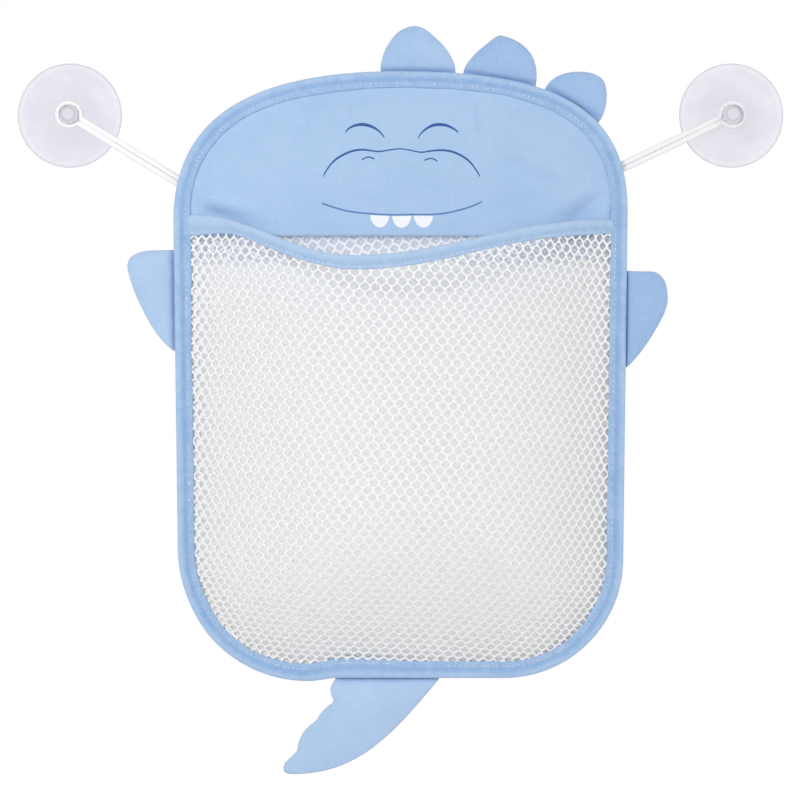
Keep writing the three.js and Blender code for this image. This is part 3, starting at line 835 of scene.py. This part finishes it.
def net_yarn(name, low, high):
    """Knitted polyester yarn, a little uneven. The web in the back net's gaps has painted shade: it is darker
    just below the hem and on the back."""
    material, feed, place = new_material(name)
    yarn = place.noise(700, 3)
    # 1 on the web, the sheet that stands in for shade.
    fine = place.node("Attribute", {}, output="Fac", attribute_name="shade_web")
    below_hem = place.parts()[2].step(hem_height - hem_shade_end, hem_height - hem_shade_start)
    # Painted shade on the web: darker just below the hem and on its faces that look back at the wall.
    run = below_hem.larger(1 - facing_front(place))
    strands = yarn.step(0.3, 0.7).blend(low, high)
    feed(
        Base_Color=fine.step(0.0, 0.15).blend(strands, run.blend(shade_web, hem_and_back_shade)),
        Roughness=0.55 + yarn * 0.25,
        Sheen_Weight=0.7,
        Normal=yarn.bump(0.25, 0.0002),
    )
    return material


back_yarn = net_yarn("back_net", colour(246, 247, 249), colour(251, 251, 252))
front_yarn = net_yarn("front_net", colour(246, 246, 247), colour(252, 252, 252))
back_top = hem_height + back_lap * hem_fold
back_net = add_net("back_net_knit", back_point, lambda x: back_top, back_tilt, 1, True, back_yarn)
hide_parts("back_net")
front_net = add_net(
    "front_net_knit", pocket_point, lambda x: mouth_height(x) - mouth_lap, front_tilt, front_gather, False,
    front_yarn)
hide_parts("front_net")


# Mouth tape and edge binding: blue woven polyester tape folded in two over the raw edges and sewn through
# with one row of stitches. A profile runs over the fold from the back to the front: distance in from the
# fold and height, in millimetres, like the seam's place and the waves in the tape.
tape_wall = 0.0004
mouth_tape_width = 0.008
mouth_end_tuck = 0.002
end_flat = 0.8
end_rise = 0.006
mouth_count = 320
mouth_step = 0.001
flare = 0.5
flare_start = 0.092
flare_end = 0.118
rib_pitch = 0.0006
weft_pitch = 0.0004
# The painted highlight on the fold fades out across the first band; the painted shade in the groove ends
# across the second.
fold_band = (0.0012, 0.0050)
seam_band = (0.0054, 0.0066)
stitch_pitch = 0.0031
stitch_length = 0.0023
stitch_radius = 0.0003
right_bare = 2
left_bare = 10
mouth_thread = 0.78
binding_thread = 1.6
seam_width = 0.9
seam_pull = 0.3
wavers = [(160, 0.18), (60, 0.12)]
waver_start = 0.5
waver_full = 3
waver_height = 0.7
edge_wave = (26, 0.7)
edge_waver = 1.2
head_sink = 0.7
binding_sag = 0.0017
sag_low = 0.02
sag_high = 0.05
sag_start = 0.036
sag_full = 0.052
binding_draw = 0.3
draw_place = -0.022
draw_width = 0.022
binding_profile = [
    (9.8, -1.6), (8.6, -1.9), (7.0, -1.6), (5.4, -2.0), (2.6, -2.05), (0.9, -1.6), (0.15, -0.8), (0, 0),
    (0.15, 0.8), (0.9, 1.5), (2.2, 1.85), (3.6, 1.9), (4.6, 1.7), (5.3, 1.35), (5.9, 1.5), (6.5, 1.65),
    (7.0, 1.5), (7.6, 1.65), (8.8, 1.6), (9.8, 1.2),
]
binding_seam = 7.0
mouth_profile = [
    (8.0, -0.55), (6.7, -1.0), (3.0, -1.15), (0.8, -0.95), (0.1, -0.5), (0, 0), (0.1, 0.5), (0.8, 0.95),
    (2.8, 1.2), (4.6, 1.15), (5.6, 0.95), (6.2, 0.7), (6.7, 0.95), (7.3, 1.0), (8.0, 0.6),
]
mouth_seam = 6.2


def tape_cloth(name, low, high):
    """Ribbed woven tape, uneven in tone, with a painted highlight on the fold, painted shade in the groove
    where the fold ends and a paler strip past the seam.
    """
    material, feed, place = new_material(name)
    along, inset, _ = place.node("UVMap", {}, uv_map="tape").parts()
    ribs = (along * (math.tau / rib_pitch)).sine() * 0.6 + (inset * (math.tau / weft_pitch)).sine() * 0.4
    creases = place.noise(260, 3).step(0.3, 0.7)
    shade = place.noise(55, 3).step(0.3, 0.7) * 0.2 + creases * 0.3 + ribs * 0.08 - 0.15
    # Painted highlight on the fold and painted shade in the groove where it ends; paler again past the seam.
    fold_light_groove_shade = (1.0 - inset.step(*fold_band)) * 0.65 + inset.step(*seam_band) * 0.4
    feed(
        Base_Color=(fold_light_groove_shade + shade).blend(low, high),
        Roughness=0.75 + place.noise(900) * 0.2,
        Sheen_Weight=0.15,
        Normal=(ribs * 0.25 + creases).bump(0.45, 0.0006),
    )
    return material


binding_cloth = tape_cloth("binding_tape", colour(146, 181, 224), colour(182, 208, 240))
mouth_cloth = tape_cloth("mouth_tape", colour(165, 195, 230), colour(187, 211, 240))
thread_material, feed, place = new_material("thread")
twist = (place.noise(1500) * 0.4 + place.noise(90) * 0.6).step(0.35, 0.65)
feed(
    Base_Color=twist.blend(colour(176, 203, 238), colour(226, 237, 251)),
    Roughness=0.6,
    Normal=twist.bump(0.3, 0.0002),
)


def mouth_flare(x):
    """The tape is broader at its left end, where its fold opens."""
    return 1 + flare * ease(-x, flare_start, flare_end)


def add_tape(name, finish, stations, profile, seam, stitches, closed):
    """A tape folded over an edge. A station is the line that the tape lies on, as a function of the distance
    from the fold, and the direction out of the cloth."""
    free_edge = profile[0][0]
    along = distances(numpy.array([lay(0) for lay, _ in [*stations, stations[0]]]))
    turns = math.tau * stitches / (len(stations) if closed else len(stations) - 1)

    def spot(k, inset, height):
        """A point of the tape, drawn in at each stitch and sunk where it lies on the head panel."""
        lay, out = stations[k]
        origin = lay(0)
        pull = math.exp(-((inset - seam) / seam_width) ** 2) * (0.5 - 0.5 * math.cos(turns * k))
        waver = sum(noise.noise(origin * scale) * size for scale, size in wavers)
        over_head = ease(origin.z, mouth_left[1], mouth_left[1] + hem_fold) if closed and height > 0 else 0
        sunk = head_sink * ease(inset, seam, free_edge) * over_head
        loose = waver * ease(inset, waver_start, waver_full) * waver_height
        grown = height * (1 - seam_pull * pull + loose) - sunk
        wave = noise.noise(origin * edge_wave[0]) * edge_wave[1] + waver * edge_waver
        shifted = inset + wave * ease(inset, seam, free_edge)
        if closed:
            return lay(shifted / 1000) + out * (grown / 1000)
        from_end = min(along[k], along[-2] - along[k])
        flat = end_flat + (1 - end_flat) * ease(from_end, mouth_end_tuck, end_rise)
        return lay(shifted * mouth_flare(origin.x) / 1000) + out * (grown * flat / 1000)

    bm = bmesh.new()
    uv = bm.loops.layers.uv.new("tape")
    row = [bm.verts.new(spot(k, *profile[0])) for k in range(len(stations))]
    edges = [bm.edges.new(pair) for pair in zip(row, row[1:] + row[:1] if closed else row[1:])]
    places = {vert: (k, 0) for k, vert in enumerate(row)}
    for level, (inset, height) in enumerate(profile[1:], 1):
        fresh, edges = next_row(bm, edges)
        for vert in fresh:
            partner = next(e.other_vert(vert) for e in vert.link_edges if e.other_vert(vert) not in fresh)
            places[vert] = (places[partner][0], level)
            vert.co = spot(places[vert][0], inset, height)
    for face in bm.faces:
        highest = max(places[loop.vert][0] for loop in face.loops)
        for loop in face.loops:
            k, level = places[loop.vert]
            wrapped = closed and k == 0 and highest == len(stations) - 1
            loop[uv].uv = (along[-1] if wrapped else along[k], profile[level][0] / 1000)
    bmesh.ops.recalc_face_normals(bm, faces=bm.faces)
    made = add_piece(name, bm, finish)
    thickness = made.modifiers.new("wall", "SOLIDIFY")
    thickness.thickness = tape_wall
    thickness.offset = -1
    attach(made, "bag")
    return made


def add_stitches(name, stations, inset, height):
    """A row of short straight stitches, half sunk into the tape."""
    bm = bmesh.new()
    for lay, out in stations:
        inward = (lay(inset / 1000) - lay(0)).normalized()
        ahead = out.cross(inward).normalized()
        turn = Matrix((ahead, out.cross(-ahead), out)).transposed().to_4x4()
        middle = lay(inset / 1000) + out * (height / 1000)
        size = Matrix.Diagonal((stitch_length / 2, stitch_radius, stitch_radius, 1))
        place = Matrix.Translation(middle) @ turn @ size
        bmesh.ops.create_icosphere(bm, subdivisions=1, radius=1, matrix=place)
    made = add_piece(name, bm, thread_material)
    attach(made, "bag")


def mouth_lay(x):
    """The line down the pocket from a place on its mouth."""
    top = mouth_height(x)
    slope = mouth_tape_width / (pocket_point(x, top - mouth_tape_width) - pocket_point(x, top)).length
    return lambda inset: pocket_point(x, top - inset * slope)


def mouth_stations(count):
    """Along the mouth, from its right end to its left."""
    made = []
    for x in numpy.linspace(mouth_right[0] + mouth_end_tuck, mouth_left[0] - mouth_end_tuck, count).tolist():
        lay = mouth_lay(x)
        inward = lay(mouth_tape_width) - lay(0)
        beside = mouth_lay(x + mouth_step)(0) - lay(0)
        made.append((lay, beside.cross(-inward).normalized()))
    return made


def binding_stations(count):
    """Along the bag's edge. The tape sags at the bottom left and is drawn up over the tail."""
    def edge_lay(point, inward):
        """The line in from a point of the edge."""
        low = ease(point.y, bag_bottom + sag_high, bag_bottom + sag_low)
        sag = binding_sag * low * ease(-point.x, sag_start, sag_full)
        broad = 1 + binding_draw * low * math.exp(-((point.x - draw_place) / draw_width) ** 2)
        start = Vector((point.x, -head_level, point.y - sag))
        return lambda inset: start + Vector((inward.x, 0, inward.y)) * (inset * broad)

    return [(edge_lay(*station), Vector((0, -1, 0))) for station in edge_stations(count)]


mouth_stitches = round(2 * shoulder_half / stitch_pitch)
mouth_tape = add_tape(
    "mouth_tape", mouth_cloth, mouth_stations(mouth_count), mouth_profile, mouth_seam, mouth_stitches, False)
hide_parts("mouth_binding")
mouth_sewn = mouth_stations(mouth_stitches + 1)[right_bare:-left_bare]
add_stitches("mouth_stitches", mouth_sewn, mouth_seam, mouth_thread)
perimeter = evenly(outline, 2)[1]
stitches = round(perimeter / stitch_pitch)
binding = add_tape(
    "binding_tape", binding_cloth, binding_stations(edge_count), binding_profile, binding_seam, stitches,
    True)
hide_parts("edge_binding")
add_stitches("binding_stitches", binding_stations(stitches), binding_seam, binding_thread)


# Hem seam: the same thread holds the back net's top edge to the hem. It shows on the back, where it lies on
# the net.
hem_seam = 3.5
hem_thread = 0.5
hem_reach = 0.116


def hem_lay(x):
    """The line up the back net from a place on the hem."""
    return lambda inset: Vector((x, -back_net_level, hem_height + inset))


hem_places = numpy.arange(-hem_reach, hem_reach, stitch_pitch).tolist()
hem_sewn = [(hem_lay(x), Vector((0, 1, 0))) for x in hem_places]
add_stitches("hem_stitches", hem_sewn, hem_seam, hem_thread)


# Stuffed plates, fins and tail: two plies of the blue cloth, sewn together, turned and filled with thin
# wadding. The cloth comes in three tones of painted light and shade: paler on the left fin and the tail,
# deeper on the right fin and the second and third plates, the first plate between them. The flat base of each
# lies behind the binding and is sewn on with it. Each is drawn on its own axes: x along its hinge on the edge
# of the bag, y away from it and z out from the wall.
tuck = 0.0065
tuck_depth = 0.0029
tuck_bend = (-0.0012, 0.0022)
side_points = 5
flap_crown = 0.0036
tail_crown = 0.005
tail_steps = [((35.5, 6), (30.4, 12.5), 12), ((39, 19), (40.5, 24), 10), ((51, 31), (51.4, 42), 14)]
tail_pull = 14
tail_root_pull = (-6, 28)
seam_half = 0.0006
rim_step = 0.0019
ring_shares = [1, 0.95, 0.88, 0.79, 0.68, 0.56, 0.43, 0.30, 0.17]
first_fill = 0.4
settle_rounds = 6
sewn_height = 0.001
rise_end = 0.012
sim_scale = 20
sim_frames = 20
sim_quality = 10
sim_mass = 0.05
sim_bending = 0.2
sim_pressure = 12
settle_share = 0.5
swell_cap = 0.006
pucker_share = 0.06
seam_crease = 0.6
hinges = {joint["child"]: joint for joint in frame["joints"]}

# One blue cloth in three tones: painted light on the left fin and the tail, painted shade on the right fin
# and the second and third plates.
painted_light_cloth = woven_cloth("painted_light_flap_cloth", colour(171, 199, 233), colour(185, 209, 240))
flap_cloth = woven_cloth("flap_cloth", colour(164, 194, 231), colour(178, 204, 238))
painted_shade_cloth = woven_cloth("painted_shade_flap_cloth", colour(154, 186, 227), colour(168, 197, 235))


def bend(start, pull, end, steps):
    """Points on a curve with one pulling point, without its end."""
    start, pull, end = (numpy.array(point) for point in (start, pull, end))
    return bezier(start, (start + 2 * pull) / 3, (end + 2 * pull) / 3, end, steps)


def spine_shape(base, height, lean, round_left, round_right, foot_left, foot_right):
    """The free edge of a plate, from sizes in millimetres."""
    half = base / 2
    return numpy.concatenate([
        bezier((half, 0), (half, foot_right), (lean + round_right, height), (lean, height), 30),
        bezier((lean, height), (lean - round_left, height), (-half, foot_left), (-half, 0), 30),
        [(-half, 0)],
    ]) / 1000


def arm_shape(side, base, reach, crest, level, corner, slope, foot):
    """The free edge of a fin, from sizes in millimetres and shares of its reach."""
    upper = -side * base / 2
    slant = base - crest
    points = numpy.concatenate([
        [(upper, 0)],
        bezier(
            (upper, level * reach), (upper, corner * reach), (upper + side * crest / 2, reach),
            (upper + side * crest, reach), 20),
        bezier(
            (upper + side * crest, reach), (upper + side * (crest + slant / 4), slope * reach),
            (upper + side * (base - slant / 5), foot * reach), (-upper, 0), 40),
        [(-upper, 0)],
    ]) / 1000
    return points if side < 0 else points[::-1]


def tail_shape(base, length, sweep, tip):
    """The free edge of the tail, down its steps, round its tip and back, from sizes in millimetres."""
    half = base / 2
    corner = (half, 0)
    steps = []
    for pull, end, count in tail_steps:
        steps.append(bend(corner, pull, end, count))
        corner = end
    return numpy.concatenate([
        *steps,
        [corner],
        bend((sweep - tip / 2, length - tip), (sweep, length), (sweep - tip, length), 8),
        bezier((sweep - tip, length), (tail_pull, length), tail_root_pull, (-half, 0), 50),
        [(-half, 0)],
    ]) / 1000


def swell(made, crown):
    """Fills the sewn plies: cloth under pressure, worked out at a larger scale, its base held. The rim keeps
    its outline but for small puckers."""
    rest = [vert.co.copy() for vert in made.data.vertices]
    made.data.transform(Matrix.Scale(sim_scale, 4))
    sewn = made.vertex_groups.new(name="sewn")
    sewn.add([k for k, co in enumerate(rest) if co.y < sewn_height], 1.0, "REPLACE")
    cloth = made.modifiers.new("filling", "CLOTH")
    cloth.settings.quality = sim_quality
    cloth.settings.mass = sim_mass
    cloth.settings.bending_stiffness = sim_bending
    cloth.settings.use_pressure = True
    cloth.settings.uniform_pressure_force = sim_pressure
    cloth.settings.vertex_group_mass = sewn.name
    cloth.settings.effector_weights.gravity = 0
    cloth.point_cache.frame_start = 1
    cloth.point_cache.frame_end = sim_frames
    for step in range(1, sim_frames + 1):
        scene.frame_set(step)
    blown = made.evaluated_get(bpy.context.evaluated_depsgraph_get()).data
    shifts = [vert.co / sim_scale - start for vert, start in zip(blown.vertices, rest)]
    made.modifiers.remove(cloth)
    made.vertex_groups.remove(sewn)
    fullest = max(abs(start.z + shift.z) for start, shift in zip(rest, shifts))
    fill = min(1, (crown + seam_half) / fullest)
    for vert, start, shift in zip(made.data.vertices, rest, shifts):
        aside = Vector((shift.x, shift.y, 0)) * pucker_share
        full = (start.z + shift.z) * fill - start.z
        move = aside + Vector((0, 0, full))
        vert.co = start + move * min(1, swell_cap / max(move.length, swell_cap))
    scene.frame_set(1)
    settled = bmesh.new()
    settled.from_mesh(made.data)
    inner = [vert for vert in settled.verts if abs(vert.co.z) > seam_half / 2]
    for _ in range(settle_rounds):
        bmesh.ops.smooth_vert(settled, verts=inner, factor=settle_share, use_axis_z=True)
    settled.to_mesh(made.data)
    settled.free()


def set_in_order(bm):
    """Puts edges and faces in an order that never changes, so that the cloth always fills in the same way."""
    bm.verts.index_update()
    count = len(bm.verts)
    for parts in (bm.edges, bm.faces):
        parts.sort(key=lambda part: sum(
            index / count ** k for k, index in enumerate(sorted(vert.index for vert in part.verts))))


def add_flap(name, cloth, shape, crown):
    """A stuffed piece from the line of its free edge, which runs from the end of its base on the x side."""
    stem = name.removesuffix("_stuffed")
    free = evenly(shape, round(evenly(shape, 2)[1] / rim_step))[0]
    right, left = free[0][0], free[-1][0]
    base = [(x, -tuck) for x in numpy.linspace(left, right, round((right - left) / rim_step))]
    sides = numpy.linspace(-tuck, 0, side_points)[1:-1]
    rim_line = [*base, *((right, y) for y in sides), *free, *((left, y) for y in sides[::-1])]
    bm = bmesh.new()
    crease = bm.edges.layers.float.new("crease_edge")
    rim = [bm.verts.new((x, y, 0)) for x, y in rim_line]
    edges = [bm.edges.new(pair) for pair in zip(rim, rim[1:] + rim[:1])]
    for edge in edges:
        edge[crease] = seam_crease
    middle = sum((vert.co for vert in rim), Vector()) / len(rim)
    for outer, share in zip(ring_shares, ring_shares[1:]):
        fresh, edges = next_row(bm, edges)
        shrink = (share / outer, share / outer, 1)
        bmesh.ops.scale(bm, vec=shrink, space=Matrix.Translation(-middle), verts=list(fresh))
        for vert in fresh:
            rise = ease(vert.co.y, sewn_height, rise_end) * (1 - share ** 3)
            vert.co.z = seam_half + first_fill * crown * rise
    cap = bmesh.ops.contextual_create(bm, geom=edges)["faces"]
    bmesh.ops.poke(bm, faces=cap)
    bmesh.ops.mirror(bm, geom=bm.verts[:] + bm.edges[:] + bm.faces[:], axis="Z", merge_dist=seam_half / 10)
    bmesh.ops.recalc_face_normals(bm, faces=bm.faces)
    set_in_order(bm)
    made = add_piece(name, bm, cloth)
    swell(made, crown)
    for vert in made.data.vertices:
        vert.co.z -= tuck_depth * (1 - ease(vert.co.y, *tuck_bend))
    axis = Vector(hinges[stem]["axis"])
    out = Vector((0, -1, 0))
    turn = Matrix((axis, out.cross(axis), out)).transposed().to_4x4()
    place = Matrix.Translation(hinges[stem]["pos_m"]) @ turn
    made.data.transform(place)
    fuller = made.modifiers.new("smooth", "SUBSURF")
    fuller.levels = 1
    fuller.render_levels = 1
    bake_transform(made)
    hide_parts(*(f"{stem}_{layer}" for layer in ("front", "back", "wadding")))


add_flap("spine_1_stuffed", flap_cloth, spine_shape(42.9, 25.4, -1.8, 12, 7.5, 11.4, 10), flap_crown)
add_flap("spine_2_stuffed", painted_shade_cloth, spine_shape(42, 23.7, -4.4, 1, 17.8, 8.4, 12.3), flap_crown)
add_flap("spine_3_stuffed", painted_shade_cloth, spine_shape(36.3, 20.1, 5, 11, 6.9, 9.5, 8.1), flap_crown)
add_flap("left_arm_stuffed", painted_light_cloth, arm_shape(-1, 57.9, 26.2, 10, 0.375, 0.95, 0.93, 0.525), flap_crown)
add_flap("right_arm_stuffed", painted_shade_cloth, arm_shape(1, 55.2, 23.2, 16.6, 0.55, 0.9, 0.98, 0.37), flap_crown)
add_flap("tail_stuffed", painted_light_cloth, tail_shape(59, 55.4, 61.5, 7), tail_crown)
